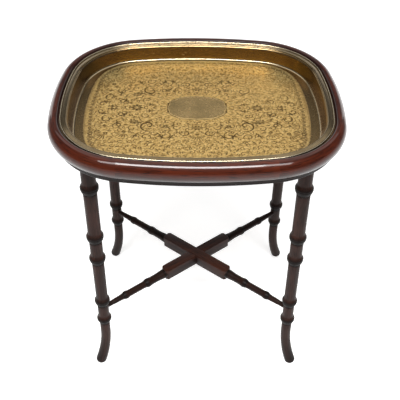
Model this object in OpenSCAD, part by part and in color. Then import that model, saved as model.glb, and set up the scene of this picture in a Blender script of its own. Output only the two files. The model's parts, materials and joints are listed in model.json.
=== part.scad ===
// Side table: a lift-out brass tray in a moulded mahogany frame, on four
// bamboo-turned legs tied by a half-lapped X stretcher.
// Origin on the floor at the middle of the footprint, +X along the long side, +Z up.

/* [Frame] */
// Overall width along X, over the bullnose
table_w = 563; // [549:1:573]
// Overall depth along Y, over the bullnose
table_d = 481; // [471:1:487]
// Height of the underside of the frame
frame_z = 566.5; // [535:0.5:595]
// Height of the apron layer under the rail
apron_h = 13; // [10:1:16]
// Radius of the long front and back curves at the tray's edge line
long_r = 893; // [860:1:930]
// Radius of the left and right curves at the tray's edge line
short_r = 687; // [660:1:710]
// Radius of the corner curves at the tray's edge line
corner_r = 140; // [134:1:146]
// Radius of the bullnose
nose_r = 21.5; // [20.5:0.5:22]

/* [Tray] */
// Depth of the tray from its rim down to its floor
tray_depth = 32; // [30:0.5:32.5]
// Thickness of the brass sheet
sheet = 1.2; // [1:0.1:1.4]

/* [Legs] */
// Distance of each leg's axis from the middle along X, at the leg's top
leg_x = 200.5; // [197:0.5:203]
// Distance of each leg's axis from the middle along Y, at the leg's top
leg_y = 147; // [144:0.5:149]
// Outward lean of each leg along Y, in degrees
leg_lean = 1.85; // [1:0.05:2.5]
// Outward lean of each leg along X, in degrees
leg_splay = 0.3; // [0:0.05:1]
// Radius of the leg under the frame
leg_r = 13.9; // [13:0.1:14.5]
// How much thinner each turned length is than the one above
leg_step = 0.5; // [0.4:0.05:0.6]
// Radius of the swelling of each bamboo joint beyond the wood beside it
joint_swell = 3.9; // [3:0.1:4.2]
// Compass direction of each foot, from the X axis, in degrees
foot_dir = 29; // [20:1:40]

/* [Stretcher] */
// Height of the stretcher's centre line
stretcher_z = 168.5; // [163:0.5:171]
// Width of the square middle of each bar
bar_w = 24; // [22:1:26]
// Thickness of the square middle of each bar
bar_t = 27; // [24:1:28]
// Half length of the square middle of each bar
bar_half = 93; // [86:0.5:98]

/* [Fasteners] */
// Diameter of the dowels in the rail joints
dowel_d = 8; // [6:1:8]
// Shank diameter of the wood screws
screw_d = 4; // [3.5:0.5:4.5]

/* [Hidden] */

// Everything is laid out from the line where the tray's rim meets the wood.
// An offset is the distance outside (+) or inside (-) that line.
nose_offset = 2.2;                       // middle of the bullnose's section
edge_a = table_w / 2 - nose_offset - nose_r;
edge_b = table_d / 2 - nose_offset - nose_r;
frame_in = -11;                          // inner face of the frame
rail_z = frame_z + apron_h;              // bottom of the rail
nose_z = rail_z + 15.6;                  // height of the bullnose's middle
rim_z = nose_z + 16.8;                   // top of the tray's edge bead
ledge_z = rim_z - 5.1;                   // ledge that carries the tray's flange
floor_z = rim_z - tray_depth;            // top of the tray's floor
fine = 256;                              // facets of a whole turn of a swept curve
gap = 0.3;                               // air between the tray and the wood
fit = 0.05;                              // radial clearance of a glued joint
strip_joint = 0.03;                      // hairline at each end of a length of the tray's edge
glue_joint = 0.03;                       // hairline at each end of a glued length of apron

// Centres of the eight tangent arcs of the outline, in the +X +Y quarter
long_c = [0, edge_b - long_r];
short_c = [edge_a - short_r, 0];
corner_c = meet(long_c, long_r - corner_r, short_c, short_r - corner_r);
// Half of the angle that a long or a short arc turns through
long_turn = atan2(corner_c.x - long_c.x, corner_c.y - long_c.y);
short_turn = atan2(corner_c.y - short_c.y, corner_c.x - short_c.x);
corner_turn = 90 - long_turn - short_turn;
corner_mid = short_turn + corner_turn / 2;
side_signs = [-1, 1];

// The crossing of two circles that lies furthest along +X +Y
function meet(p, rp, q, rq) =
  let (d = norm(q - p), k = (rp * rp - rq * rq + d * d) / (2 * d),
       h = sqrt(rp * rp - k * k), u = (q - p) / d, n = [-u.y, u.x],
       one = p + k * u + h * n, two = p + k * u - h * n)
  one.x + one.y > two.x + two.y ? one : two;

// ---- Sections, drawn as [offset, height] ----

module rail_section() {
  nose_from = -asin((nose_z - rail_z) / nose_r);
  nose_to = 60;
  crest = [for (i = [0:14]) let (t = nose_from + (nose_to - nose_from) * i / 14)
    [nose_offset + nose_r * cos(t), nose_z + nose_r * sin(t)]];
  polygon(concat(
    [[frame_in, ledge_z], [frame_in, rail_z]],
    crest,
    [[nose_offset + 7, nose_z + 19.4], [nose_offset + 4, nose_z + 19],
     [nose_offset + 1.8, nose_z + 17.6], [nose_offset + 0.6, nose_z + 15.6],
     [nose_offset + 0.6, ledge_z]]));
}

module apron_section() {
  face = 11.5;
  polygon([
    [frame_in, frame_z], [face - 1.2, frame_z], [face, frame_z + 1.2],
    [face, rail_z - 5], [face + 1.4, rail_z - 3.6], [face + 5.2, rail_z - 2.6],
    [face + 5.6, rail_z - 1.4], [face + 5.2, rail_z], [frame_in, rail_z]]);
}

module pan_section() {
  flange_z = ledge_z + gap;
  edge = 1;
  wall_top = -13.8;
  wall_foot = -22.6;
  lap = -46;
  polygon([
    [edge, flange_z], [wall_top + sheet, flange_z],
    [wall_foot + sheet, floor_z + 1], [wall_foot - 0.6, floor_z - sheet],
    [lap, floor_z - sheet], [lap, floor_z],
    [wall_foot - 1.4, floor_z], [wall_foot, floor_z + 1.4],
    [wall_top, flange_z + sheet], [edge, flange_z + sheet]]);
}

module moulding_section() {
  seat = ledge_z + gap + sheet;
  mid = -7.7;
  half = 5.6;
  rise = 3.1;
  polygon([for (i = [0:10]) [mid + half * cos(18 * i), seat + rise * sin(18 * i)]]);
}

module bead_section() {
  seat = ledge_z + gap + sheet;
  bead_r = 1.9;
  mid = -0.2;
  low = asin((seat - (rim_z - bead_r)) / bead_r);
  polygon([for (i = [0:14]) let (t = low + (180 - 2 * low) * i / 14)
    [mid + bead_r * cos(t), rim_z - bead_r + bead_r * sin(t)]]);
}

// ---- Sweeps of a section round the outline ----

// Angle that an end gives up to leave a hairline joint of this length
function trim_angle(joint, r) = joint / r * 180 / PI;

module arc(c, r, from, to, joint) {
  t = trim_angle(joint, r);
  translate([c.x, c.y, 0])
    rotate_extrude(angle = to - from - 2 * t, start = from + t, $fn = fine)
      translate([r, 0]) children();
}

module long_arc(side, joint = 0)
  arc(side * long_c, long_r, side * 90 - long_turn, side * 90 + long_turn, joint) children();

module short_arc(side, joint = 0) {
  mid = side > 0 ? 0 : 180;
  arc(side * short_c, short_r, mid - short_turn, mid + short_turn, joint) children();
}

// Corner arc between two angles of the +X +Y quarter, laid in the quarter with these signs
module corner_arc(sx, sy, from, to, joint = 0) {
  base = sx > 0 ? (sy > 0 ? 0 : 360) : 180;
  turns = sx * sy;
  first = turns > 0 ? from : -to;
  arc([sx * corner_c.x, sy * corner_c.y], corner_r, base + first, base + first + to - from, joint)
    children();
}

// Puts what is drawn in the +X +Y quarter into the quarter with these signs
module quarter(sx, sy) {
  mirror([sx < 0 ? 1 : 0, 0, 0]) mirror([0, sy < 0 ? 1 : 0, 0]) children();
}

module whole_ring(joint) {
  for (side = side_signs) {
    long_arc(side, joint) children();
    short_arc(side, joint) children();
    for (other = side_signs)
      corner_arc(side, other, short_turn, 90 - long_turn, joint) children();
  }
}

// ---- Tray ----

plate_edge = -34;                        // where the floor's plate ends, inside the lap
plate_inset = 0.1;                       // step from the lap to the thinner plate

// The plate's outline: the four corner arcs joined by straight lines
function plate_points(r) =
  let (from = [short_turn, 90 + long_turn, 180 + short_turn, 270 + long_turn])
  [for (q = [0:3], i = [0:12]) let (t = from[q] + corner_turn * i / 12)
    [(q == 0 || q == 3 ? 1 : -1) * corner_c.x + r * cos(t), (q < 2 ? 1 : -1) * corner_c.y + r * sin(t)]];

// The raised edge is made in eight lengths that the floor's plate joins into one pan
module tray_pan() color("darkgoldenrod") {
  whole_ring(strip_joint) pan_section();
  translate([0, 0, floor_z - sheet + plate_inset]) linear_extrude(sheet - 2 * plate_inset)
    polygon(plate_points(corner_r + plate_edge));
}

// The cast border is soldered on in eight lengths, and so is the half-round bead
module tray_rim_moulding() color("goldenrod") whole_ring(strip_joint) moulding_section();

module tray_edge_bead() color("gold") whole_ring(strip_joint) bead_section();

// ---- Frame ----

dowel_l = 40;
dowel_places = [[-3, rail_z + 13], [9, rail_z + 13]];   // offset and height

// Two dowels across a joint at an angle of a corner arc
module joint_dowels(angle, clearance) {
  for (p = dowel_places)
    translate([corner_c.x, corner_c.y, 0]) rotate([0, 0, angle])
      translate([corner_r + p.x, 0, p.y]) rotate([90, 0, 0])
        cylinder(h = dowel_l + 4 * clearance, d = dowel_d + 2 * clearance, center = true, $fn = 48);
}

module all_dowels(clearance) {
  for (sx = side_signs, sy = side_signs, angle = [short_turn, 90 - long_turn])
    quarter(sx, sy) joint_dowels(angle, clearance);
}

module rail_long(side) color("#5a1d12") difference() {
  long_arc(side) rail_section();
  for (sx = side_signs) quarter(sx, side) joint_dowels(90 - long_turn, fit);
}

module rail_short(side) color("#5a1d12") difference() {
  short_arc(side) rail_section();
  for (sy = side_signs) quarter(side, sy) joint_dowels(short_turn, fit);
}

module rail_corner(sx, sy) color("#5a1d12") difference() {
  corner_arc(sx, sy, short_turn, 90 - long_turn) rail_section();
  quarter(sx, sy) joint_dowels(short_turn, fit);
  quarter(sx, sy) joint_dowels(90 - long_turn, fit);
}

module rail_dowels() color("tan") all_dowels(0);

// Each side of the apron is glued up from three lengths, and the sides meet under the
// middles of the rail's corners, away from the rail's own joints
module apron_long(side) color("#4a1d14") difference() {
  union() {
    long_arc(side) apron_section();
    for (sx = side_signs)
      corner_arc(sx, side, corner_mid, 90 - long_turn, glue_joint) apron_section();
  }
  block_screw_holes();
}

module apron_short(side) color("#4a1d14") difference() {
  union() {
    short_arc(side) apron_section();
    for (sy = side_signs)
      corner_arc(side, sy, short_turn, corner_mid, glue_joint) apron_section();
  }
  block_screw_holes();
}

// ---- Corner blocks ----

block_z = frame_z - 5.5;                 // underside of the blocks
block_top = floor_z - sheet - 0.6;       // just under the tray's floor
block_in = 95;                           // inner face, from the corner arc's centre
block_half = 60;
screw_l = 38;
screw_y = 40;
screw_z = frame_z + 5.5;
tenon_d = 18;

module block_screw(clearance) {
  rotate([0, 90, 0]) {
    cylinder(h = screw_l + 4 * clearance, d = screw_d + 2 * clearance, $fn = 32);
    cylinder(h = screw_d / 2, d1 = 2 * screw_d + 2 * clearance, d2 = screw_d, $fn = 32);
  }
}

module block_screws(clearance) {
  for (sx = side_signs, sy = side_signs, side = side_signs)
    quarter(sx, sy) translate([corner_c.x, corner_c.y, 0]) rotate([0, 0, corner_mid])
      translate([block_in, side * screw_y, screw_z]) block_screw(clearance);
}

module block_screw_holes() block_screws(fit);

module corner_block(sx, sy) color("#7a5230") quarter(sx, sy) difference() {
  translate([corner_c.x, corner_c.y, block_z]) rotate([0, 0, corner_mid]) intersection() {
    cylinder(r = corner_r + frame_in, h = block_top - block_z, $fn = fine);
    translate([block_in, -block_half, 0]) cube([60, 2 * block_half, 60]);
  }
  leg_place() translate([0, 0, -20]) cylinder(h = 60, d = tenon_d + 2 * fit, $fn = 64);
  for (side = side_signs)
    translate([corner_c.x, corner_c.y, 0]) rotate([0, 0, corner_mid])
      translate([block_in, side * screw_y, screw_z]) block_screw(fit);
}

module corner_block_screws() color("silver") block_screws(0);

// ---- Legs ----

// Heights of the five bamboo joints above the floor
joint_heights = [500.5, 378.5, 320, 194.5, 138];
bend_z = 98;                             // where the foot starts to curve out
foot_turn = 21.3;                        // how far the foot curves, in degrees
foot_r = leg_r - 5 * leg_step - 0.5;
foot_end_z = 6;
bend_r = (bend_z - foot_end_z) / sin(foot_turn);

// Moves a leg drawn hanging below the origin to its place in the +X +Y quarter
module leg_place() {
  translate([leg_x, leg_y, block_z]) rotate([leg_lean, -leg_splay, 0]) children();
}

function wood_r(i) = leg_r - i * leg_step;

// Section of one bamboo joint: the wood swells to a ridge and necks in to two fine rings
function joint_points(z, above, below) = [
  [above, z + 14], [above + 0.5, z + 11], [above + 0.62 * joint_swell, z + 7],
  [above + 0.94 * joint_swell, z + 3], [above + joint_swell, z], [above + 0.9 * joint_swell, z - 3.5],
  [below + 0.75 * joint_swell, z - 8], [below + 0.4 * joint_swell, z - 12], [below + 0.6, z - 14.2],
  [below - 0.3, z - 14.8], [below + 0.5, z - 16], [below - 0.2, z - 17.2], [below, z - 18.5]];

module leg_turning() {
  heights = [for (h = joint_heights) h - block_z];
  sides = [for (i = [0:4]) each joint_points(heights[i], wood_r(i), i == 4 ? foot_r : wood_r(i + 1))];
  foot_top = bend_z - block_z;
  rotate_extrude($fn = 64) polygon(concat(
    [[0, 20], [leg_r, 20]], sides,
    [[foot_r, foot_top], [foot_r - 0.8, foot_top], [foot_r - 0.8, foot_top - 3], [0, foot_top - 3]]));
}

// The foot is a bent round bar with a rounded end
module leg_foot() {
  bar = foot_r + 0.12;
  rotate([0, 0, foot_dir]) translate([bend_r, 0, bend_z - block_z]) rotate([90, 0, 0]) {
    rotate_extrude(angle = foot_turn, start = 180, $fn = fine)
      translate([bend_r, 0]) circle(r = bar, $fn = 64);
    rotate([0, 0, 180 + foot_turn]) translate([bend_r, 0, 0]) rotate([-90, 0, 0])
      rotate_extrude($fn = 64) polygon([
        [0, -3], [bar - 0.8, -3], [bar - 0.8, 0], [bar + 0.2, 0], [bar + 0.2, 2],
        [bar - 0.8, 5.5], [bar - 3, 8.5], [bar - 6, 10], [0, 10]]);
  }
}

module leg(sx, sy) color("#3a2a24") quarter(sx, sy) difference() {
  union() {
    leg_place() {
      leg_turning();
      leg_foot();
    }
  }
  // flat underside of the foot and flat shoulder under the block, round the tenon
  translate([leg_x - 100, leg_y - 100, -50]) cube([200, 200, 50]);
  difference() {
    translate([leg_x - 50, leg_y - 50, block_z]) cube([100, 100, 60]);
    leg_place() translate([0, 0, -20]) cylinder(h = 60, d = tenon_d, $fn = 64);
  }
  translate([leg_x - 50, leg_y - 50, block_top - 0.4]) cube([100, 100, 60]);
  bar_place(1) arm_end(fit);
}

// ---- Stretcher ----

leg_at_bar = [leg_x, leg_y] + (block_z - stretcher_z) * [tan(leg_splay), tan(leg_lean)];
bar_angle = atan2(leg_at_bar.y, leg_at_bar.x);
leg_distance = norm(leg_at_bar);
arm_neck_r = 10.8;                       // radius of an arm where it leaves the square middle
arm_rs = [9.1, 7.9, 6.6];                // radii of an arm's three turned lengths
arm_tip_r = 5.5;
socket = 3;                              // how far past the leg's near face the arm reaches
arm_tip = leg_distance - socket;
arm_joints = [139.5, 199];
arm_swell = 1.3;
screw_head_z = stretcher_z - bar_t / 2;

module bar_place(side) translate([0, 0, stretcher_z]) rotate([0, 0, side * bar_angle]) children();

// Plain round end of an arm, as it sits in the leg
module arm_end(clearance)
  translate([leg_distance - 24, 0, 0]) rotate([0, 90, 0])
    cylinder(h = 24 - socket + 2 * clearance, r = arm_tip_r + clearance, $fn = 48);

function arm_joint_points(x, before, after) = [
  [before, x - 9], [before + 0.6 * arm_swell, x - 5], [before + arm_swell, x - 1],
  [before + 0.9 * arm_swell, x + 1.5], [after + 0.9 * arm_swell, x + 6], [after - 0.1, x + 8.5],
  [after + 0.5, x + 9.5], [after + 0.1, x + 10.5]];

module arm() rotate([0, 90, 0]) rotate_extrude($fn = 48)
  polygon(concat(
    [[0, bar_half - 6], [arm_neck_r, bar_half - 6], [arm_neck_r, bar_half + 1.5],
     [arm_neck_r - 0.5, bar_half + 9], [arm_rs[0] + 0.3, bar_half + 18], [arm_rs[0], bar_half + 26]],
    [for (i = [0, 1]) each arm_joint_points(arm_joints[i], arm_rs[i], arm_rs[i + 1])],
    [[arm_tip_r + 0.4, leg_distance - 28], [arm_tip_r, leg_distance - 24],
     [arm_tip_r, arm_tip], [0, arm_tip]]));

module bar_middle() {
  chamfer = 4;
  half_w = bar_w / 2;
  translate([0, 0, -bar_t / 2]) linear_extrude(bar_t) polygon([
    [-bar_half, -half_w + chamfer], [-bar_half + chamfer, -half_w],
    [bar_half - chamfer, -half_w], [bar_half, -half_w + chamfer],
    [bar_half, half_w - chamfer], [bar_half - chamfer, half_w],
    [-bar_half + chamfer, half_w], [-bar_half, half_w - chamfer]]);
}

// One bar, with the half lap for the other bar taken out above or below
module stretcher_bar(side, lap_side) color("#40241c") difference() {
  bar_place(side) {
    bar_middle();
    arm();
    rotate([0, 0, 180]) arm();
  }
  bar_place(-side) translate([-bar_half / 2, -bar_w / 2, lap_side > 0 ? 0 : -bar_t])
    cube([bar_half, bar_w, bar_t]);
  centre_screw(fit);
}

module centre_screw(clearance) translate([0, 0, screw_head_z]) {
  cylinder(h = bar_t * 0.8 + 2 * clearance, d = screw_d + 2 * clearance, $fn = 32);
  cylinder(h = screw_d / 2, d1 = 2 * screw_d + 2 * clearance, d2 = screw_d, $fn = 32);
}

module stretcher_screw() color("silver") centre_screw(0);

// ---- Nodes ----

tray_pan();
tray_rim_moulding();
tray_edge_bead();
rail_long(-1);  // rail_front
rail_long(1);  // rail_back
rail_short(-1);  // rail_left
rail_short(1);  // rail_right
rail_corner(-1, -1);  // rail_corner_front_left
rail_corner(1, -1);  // rail_corner_front_right
rail_corner(-1, 1);  // rail_corner_back_left
rail_corner(1, 1);  // rail_corner_back_right
apron_long(-1);  // apron_front
apron_long(1);  // apron_back
apron_short(-1);  // apron_left
apron_short(1);  // apron_right
rail_dowels();
corner_block(-1, -1);  // corner_block_front_left
corner_block(1, -1);  // corner_block_front_right
corner_block(-1, 1);  // corner_block_back_left
corner_block(1, 1);  // corner_block_back_right
corner_block_screws();
leg(-1, -1);  // leg_front_left
leg(1, -1);  // leg_front_right
leg(-1, 1);  // leg_back_left
leg(1, 1);  // leg_back_right
stretcher_bar(1, 1);  // stretcher_bar_lower
stretcher_bar(-1, -1);  // stretcher_bar_upper
stretcher_screw();
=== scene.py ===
"""Visual model of the tray table: swept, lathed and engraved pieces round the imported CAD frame."""
import json
import math

import bmesh
import bpy
import numpy as np
from mathutils import Euler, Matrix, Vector


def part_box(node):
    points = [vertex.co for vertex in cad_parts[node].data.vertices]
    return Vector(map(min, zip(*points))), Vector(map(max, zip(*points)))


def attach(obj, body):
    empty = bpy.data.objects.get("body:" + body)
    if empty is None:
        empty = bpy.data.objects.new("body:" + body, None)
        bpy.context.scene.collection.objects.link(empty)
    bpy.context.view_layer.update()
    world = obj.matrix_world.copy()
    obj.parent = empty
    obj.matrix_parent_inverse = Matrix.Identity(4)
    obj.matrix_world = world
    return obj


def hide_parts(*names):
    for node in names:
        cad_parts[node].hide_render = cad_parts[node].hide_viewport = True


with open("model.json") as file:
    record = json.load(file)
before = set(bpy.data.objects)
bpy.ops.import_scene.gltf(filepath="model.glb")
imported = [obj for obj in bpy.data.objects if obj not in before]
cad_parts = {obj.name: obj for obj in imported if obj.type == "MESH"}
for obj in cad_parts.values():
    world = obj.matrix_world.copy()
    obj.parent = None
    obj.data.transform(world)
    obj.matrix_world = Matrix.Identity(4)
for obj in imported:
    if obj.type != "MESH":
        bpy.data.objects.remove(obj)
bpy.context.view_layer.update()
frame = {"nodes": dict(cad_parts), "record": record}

# ---- Layout, in metres, from the CAD boxes ----

MM = 0.001
PI = math.pi
STEP = 3 * MM                                              # between a sweep's sections
LONG_R, SHORT_R, CORNER_R = 893 * MM, 687 * MM, 140 * MM   # outline arcs at the tray's edge line
NOSE_R, NOSE_OFFSET = 21.5 * MM, 2.2 * MM                  # the bullnose and its middle's offset
FRAME_IN = -11 * MM                                        # inner face of the frame
SHEET = 1.2 * MM                                           # brass sheet
EDGE_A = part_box("rail_right")[1].x - NOSE_R - NOSE_OFFSET
EDGE_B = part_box("rail_back")[1].y - NOSE_R - NOSE_OFFSET
RAIL_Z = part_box("rail_front")[0].z
FRAME_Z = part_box("apron_front")[0].z
NOSE_Z = RAIL_Z + 15.6 * MM
RIM_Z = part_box("tray_edge_bead")[1].z
SEAT_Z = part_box("tray_rim_moulding")[0].z                  # top of the tray's flange
LEDGE_Z = SEAT_Z - SHEET - 0.3 * MM
FLOOR_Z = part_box("tray_pan")[0].z + SHEET
BLOCK_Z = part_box("corner_block_back_right")[0].z
BLOCK_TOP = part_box("corner_block_back_right")[1].z


def meet(p, rp, q, rq):
    """The crossing of two circles that lies furthest along +X +Y."""
    p, q = np.array(p), np.array(q)
    d = np.linalg.norm(q - p)
    k = (rp * rp - rq * rq + d * d) / (2 * d)
    u = (q - p) / d
    n = np.array([-u[1], u[0]])
    h = math.sqrt(rp * rp - k * k)
    return max((p + k * u + h * n, p + k * u - h * n), key=sum)


LONG_C = np.array([0, EDGE_B - LONG_R])
SHORT_C = np.array([EDGE_A - SHORT_R, 0])
CORNER_C = meet(LONG_C, LONG_R - CORNER_R, SHORT_C, SHORT_R - CORNER_R)
LONG_TURN = math.atan2(CORNER_C[0] - LONG_C[0], CORNER_C[1] - LONG_C[1])
SHORT_TURN = math.atan2(CORNER_C[1] - SHORT_C[1], CORNER_C[0] - SHORT_C[0])
CORNER_MID = (PI / 2 - LONG_TURN + SHORT_TURN) / 2


def outline_arcs():
    """The eight arcs of the outline, anticlockwise from the right: name, centre, radius, from, to."""
    corner = {(sx, sy): CORNER_C * (sx, sy) for sx in (-1, 1) for sy in (-1, 1)}
    st, lt = SHORT_TURN, LONG_TURN
    return [
        ("right", SHORT_C, SHORT_R, -st, st),
        ("corner_back_right", corner[1, 1], CORNER_R, st, PI / 2 - lt),
        ("back", LONG_C, LONG_R, PI / 2 - lt, PI / 2 + lt),
        ("corner_back_left", corner[-1, 1], CORNER_R, PI / 2 + lt, PI - st),
        ("left", -SHORT_C, SHORT_R, PI - st, PI + st),
        ("corner_front_left", corner[-1, -1], CORNER_R, PI + st, 3 * PI / 2 - lt),
        ("front", -LONG_C, LONG_R, 3 * PI / 2 - lt, 3 * PI / 2 + lt),
        ("corner_front_right", corner[1, -1], CORNER_R, 3 * PI / 2 + lt, 2 * PI - st),
    ]


ARCS = {name: (c, r, a, b) for name, c, r, a, b in outline_arcs()}


def quarter_outline(past=0):
    """The arcs of the +X +Y quarter, carried past both its ends by an angle."""
    return [(SHORT_C, SHORT_R, -past, SHORT_TURN), ARCS["corner_back_right"],
            (LONG_C, LONG_R, PI / 2 - LONG_TURN, PI / 2 + past)]


def trace(parts, step, closed=False):
    """Points, outward normals and running length along arcs (centre, radius, from, to)."""
    points, normals, lengths, run = [], [], [], 0.0
    for k, (c, r, a, b) in enumerate(parts):
        n = max(2, round(r * (b - a) / step))
        last = k == len(parts) - 1 and not closed
        t = a + (b - a) * np.arange(n + last) / n
        normal = np.stack([np.cos(t), np.sin(t)], 1)
        points.append(np.array(c) + r * normal)
        normals.append(normal)
        lengths.append(run + r * (t - a))
        run += r * (b - a)
    return np.concatenate(points), np.concatenate(normals), np.concatenate(lengths)


# ---- Meshes ----

def new_object(name, vertices, faces, sharp=35):
    """A smooth mesh with its faces turned outwards; edges over the angle sharp stay sharp."""
    mesh = bpy.data.meshes.new(name)
    mesh.from_pydata(np.asarray(vertices).tolist(), [], faces)
    mesh.validate()
    work = bmesh.new()
    work.from_mesh(mesh)
    bmesh.ops.recalc_face_normals(work, faces=work.faces)
    work.to_mesh(mesh)
    work.free()
    mesh.shade_smooth()
    mesh.set_sharp_from_angle(angle=math.radians(sharp))
    obj = bpy.data.objects.new(name, mesh)
    bpy.context.scene.collection.objects.link(obj)
    return obj


def grid_faces(rows, columns, wrap_rows, wrap_columns, first=0):
    """Quads between the rows and columns of a grid of vertices."""
    i = np.arange(rows if wrap_rows else rows - 1)[:, None]
    j = np.arange(columns if wrap_columns else columns - 1)[None, :]
    i2, j2 = (i + 1) % rows, (j + 1) % columns
    quads = np.stack([i * columns + j, i2 * columns + j, i2 * columns + j2, i * columns + j2], -1)
    return (quads.reshape(-1, 4) + first).tolist()


def set_values(obj, name, values):
    """A number at each vertex, which a material reads by name."""
    attribute = obj.data.attributes.new(name, "FLOAT", "POINT")
    attribute.data.foreach_set("value", np.asarray(values, np.float32).ravel())


def set_vectors(obj, name, values):
    """A vector at each vertex, which a material reads by name."""
    attribute = obj.data.attributes.new(name, "FLOAT_VECTOR", "POINT")
    attribute.data.foreach_set("vector", np.asarray(values, np.float32).ravel())


def vertex_points(obj):
    flat = np.zeros(len(obj.data.vertices) * 3, np.float32)
    obj.data.vertices.foreach_get("co", flat)
    return flat.reshape(-1, 3)


def spun(points, angle):
    """Points turned about the vertical axis."""
    c, s = math.cos(angle), math.sin(angle)
    x, y, z = np.asarray(points).T
    return np.stack([x * c - y * s, x * s + y * c, z], 1)


def sweep(name, path, section, closed, sharp=35):
    """A closed section of (offset, height) points carried along the outline."""
    base, normal, length = path
    section = np.array(section)
    offset = np.broadcast_to(section[:, 0], (len(base), len(section))).copy()
    height = np.broadcast_to(section[:, 1], (len(base), len(section))).copy()
    plan = base[:, None, :] + offset[:, :, None] * normal[:, None, :]
    points = np.concatenate([plan, height[:, :, None]], 2)
    faces = grid_faces(len(base), len(section), closed, True)
    if not closed:
        faces.append(list(range(len(section))))
        faces.append([(len(base) - 1) * len(section) + j for j in range(len(section))])
    obj = new_object(name, points.reshape(-1, 3), faces, sharp)
    along = np.broadcast_to(length[:, None], offset.shape)
    set_vectors(obj, "grain", np.stack([along, offset, height], -1))
    return obj


def smooth_curve(points, per_span=6):
    """A Catmull-Rom curve through control points, ends kept."""
    p = np.array(points, float)
    p = np.concatenate([[2 * p[0] - p[1]], p, [2 * p[-1] - p[-2]]])
    t = np.linspace(0, 1, per_span, endpoint=False)[:, None]
    spans = [0.5 * (2 * p[i] + (p[i + 1] - p[i - 1]) * t
                    + (2 * p[i - 1] - 5 * p[i] + 4 * p[i + 1] - p[i + 2]) * t ** 2
                    + (3 * p[i] - p[i - 1] - 3 * p[i + 1] + p[i + 2]) * t ** 3)
             for i in range(1, len(p) - 2)]
    return np.concatenate(spans + [p[-2:-1]])


def arc_section(offset, z, r, from_deg, to_deg, n):
    """Points along an arc of a section, angles in degrees from the outward level."""
    t = np.radians(np.linspace(from_deg, to_deg, n))
    return [(offset + r * math.cos(a), z + r * math.sin(a)) for a in t]


# ---- Frame ----

def rail_section():
    """The bullnose rail: ledge and inner face, round nose, and a crest that drops to the tray."""
    low = -math.degrees(math.asin((NOSE_Z - RAIL_Z) / NOSE_R))
    crest = smooth_curve([(NOSE_OFFSET + NOSE_R / 2, NOSE_Z + 18.62 * MM),
                          (NOSE_OFFSET + 7 * MM, NOSE_Z + 19.38 * MM),
                          (NOSE_OFFSET + 4 * MM, NOSE_Z + 19 * MM),
                          (NOSE_OFFSET + 1.8 * MM, NOSE_Z + 17.6 * MM),
                          (NOSE_OFFSET + 0.6 * MM, NOSE_Z + 15.4 * MM)], 4)
    return ([(FRAME_IN, LEDGE_Z), (FRAME_IN, RAIL_Z)]
            + arc_section(NOSE_OFFSET, NOSE_Z, NOSE_R, low, 60, 44)
            + crest[1:].tolist() + [(NOSE_OFFSET + 0.6 * MM, LEDGE_Z)])


def apron_section():
    """The set-back apron: a bead at its foot, a flat face and a small ogee under the rail."""
    face = 11.5 * MM
    rows = [(-22.5, 0), (-1.6, 0), (-0.5, 0.4), (0, 1.3), (0, 7), (0.3, 8), (1.1, 8.4), (1.3, 9.2),
            (2.4, 10), (4, 10.3), (5.2, 10.9), (5.5, 11.8), (5.2, 13), (-22.5, 13)]
    return [(face + a * MM, FRAME_Z + b * MM) for a, b in rows]


def shade_below(obj, top, depth, most):
    """Painted shade: darker colour and less polish on the parts below top, fading in over depth."""
    down = (top - vertex_points(obj)[:, 2]) / depth
    set_values(obj, "dark", most * np.clip(down, 0, 1))


def rail_shade(section):
    """Painted shade along the rail's section: darker colour and less polish under the nose, and a painted
    shadow beside the tray.
    """
    offset, height = np.array(section).T
    under = 0.85 * np.clip((NOSE_Z - height) / NOSE_R, 0, 1)
    beside = 0.7 * np.clip((NOSE_OFFSET + 6.5 * MM - offset) / (4 * MM), 0, 1)
    return np.maximum(under, beside)


def build_rails():
    section = rail_section()
    for name, arc in ARCS.items():
        node = "rail_" + name
        rail = sweep(node, trace([arc], STEP), section, False, sharp=50)
        # painted shade under the nose and painted shadow beside the tray, as "dark" values
        set_values(rail, "dark", np.tile(rail_shade(section), len(rail.data.vertices) // len(section)))
        finish_piece(rail, "stand", [node], "mahogany")


def build_aprons():
    """Each side of the apron runs to the middle of the corner at both its ends."""
    section = apron_section()
    order = list(ARCS)
    for name in ("front", "back", "left", "right"):
        i = order.index(name)
        before, arc, after = (ARCS[order[k % 8]] for k in (i - 1, i, i + 1))
        mid_before = (before[2] + before[3]) / 2
        mid_after = (after[2] + after[3]) / 2
        lengths = [(*before[:2], mid_before, before[3]), arc, (*after[:2], after[2], mid_after)]
        apron = sweep("apron_" + name, trace(lengths, STEP), section, False, sharp=25)
        # painted shade on the apron, set back under the rail
        shade_below(apron, RAIL_Z + 1 * MM, 1 * MM, 0.95)
        finish_piece(apron, "stand", ["apron_" + name], "mahogany")


# ---- Tray ----

FLOOR_EDGE = -24.4 * MM                      # where the engraved plate meets the raised edge
FIELD_EDGE, FIELD_END = -26.5, -40           # edge of the engraving in mm, at the sides and short ends
GROOVE = 0.4 * MM                            # depth of the engraving
CELLS = 312                                  # cells of the engraved plate each way
GLARE_AT, GLARE_R = (140 * MM, 75 * MM), 58 * MM   # where the engraving is made shallower and paler, as a painted highlight of glare
WALL_DROP = SEAT_Z - FLOOR_Z


def ring():
    return trace(list(ARCS.values()), STEP, closed=True)


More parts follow.
